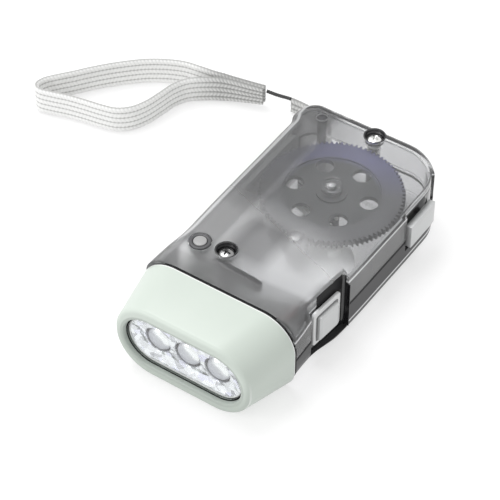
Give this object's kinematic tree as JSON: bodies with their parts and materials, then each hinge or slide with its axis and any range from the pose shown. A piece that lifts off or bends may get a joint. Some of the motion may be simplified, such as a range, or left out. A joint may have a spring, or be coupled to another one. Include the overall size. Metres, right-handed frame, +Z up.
{
  "type": "hand-squeezed dynamo torch",
  "caption": "Palm-sized squeeze-dynamo torch: translucent two-part case, pale bezel with a stadium opening, side lever, gear train, flywheel generator, two sliders and a woven wrist strap.",
  "frame": {"origin": "under the middle of the torch without its strap, on the surface that it lies on", "axes": "+Z up through the roof, -Y the way the beam leaves, +X the side with the two sliders; the lever is on the -X side"},
  "size_m": [0.1366, 0.1164, 0.026],
  "materials": {
    "pale_plastic": "satin pale grey-green",
    "clear_plastic": "clear, polished",
    "chromed_plastic": "vacuum-metallised plastic",
    "led_epoxy": "clear epoxy",
    "circuit_board": "lacquered board",
    "smoke_plastic": "translucent smoke grey",
    "steel": "bright steel",
    "dark_gear_plastic": "dark moulded plastic",
    "white_nylon": "natural nylon",
    "milky_plastic": "milky moulded plastic",
    "ferrite": "sintered black ferrite",
    "tinned_sheet": "tinned pressed sheet",
    "copper_winding": "enamelled copper wire",
    "cell_steel": "bright nickel-plated",
    "silver_plastic": "silver-painted plastic",
    "white_webbing": "woven white webbing",
    "dark_string": "dark twisted string",
    "red_wire": "insulated wire",
    "black_wire": "insulated wire"
  },
  "bodies": {
    "case": {"bezel": "pale_plastic", "lens": "clear_plastic", "reflector": "chromed_plastic", "led_1": "led_epoxy", "led_2": "led_epoxy", "led_3": "led_epoxy", "led_board": "circuit_board", "top_cover": "smoke_plastic", "bottom_cover": "smoke_plastic", "lever_pivot_pin": "pale_plastic", "gear_axle": "steel", "flywheel_axle": "steel", "stator_lower": "tinned_sheet", "stator_upper": "tinned_sheet", "coil_bobbin": "white_nylon", "coil_winding": "copper_winding", "battery_cell_1": "cell_steel", "battery_cell_2": "cell_steel", "battery_cell_3": "cell_steel", "screw_front": "steel", "screw_rear": "steel", "slide_switch": "tinned_sheet", "strap_post": "steel", "strap_tab": "white_webbing", "strap_string": "dark_string", "wrist_strap": "white_webbing", "wire_red": "red_wire", "wire_black": "black_wire"},
    "lever": {"squeeze_lever": "pale_plastic", "lever_spring": "steel"},
    "gear": {"drive_gear": "dark_gear_plastic", "ratchet_pinion": "white_nylon", "ratchet_pawl": "steel"},
    "rotor": {"flywheel": "milky_plastic", "ring_magnet": "ferrite"},
    "knob": {"switch_knob": "silver_plastic"},
    "lock": {"lock_slider": "silver_plastic"}
  },
  "joints": [
    {"name": "lever_hinge", "type": "hinge", "parent": "case", "child": "lever", "pos_m": [-0.0157, -0.0192, 0.012], "axis": [0, 0, 1], "range_deg": [0, 22]},
    {"name": "gear_spin", "type": "hinge", "parent": "case", "child": "gear", "pos_m": [0.0022, 0.022, 0.0185], "axis": [0, 0, 1], "range_deg": [-182, 0]},
    {"name": "flywheel_spin", "type": "hinge", "parent": "case", "child": "rotor", "pos_m": [0.0055, -0.00226, 0.012], "axis": [0, 0, 1], "range_deg": [0, 1142]},
    {"name": "switch_slide", "type": "slide", "parent": "case", "child": "knob", "axis": [0.0872, 0.9962, 0], "range_m": [0, 0.0022]},
    {"name": "lock_slide", "type": "slide", "parent": "case", "child": "lock", "axis": [0, 1, 0], "range_m": [0, 0.004]}
  ],
  "couplings": [
    {"joint": "gear_spin", "follows": "lever_hinge", "ratio": -8.25},
    {"joint": "flywheel_spin", "follows": "lever_hinge", "ratio": 51.857}
  ]
}
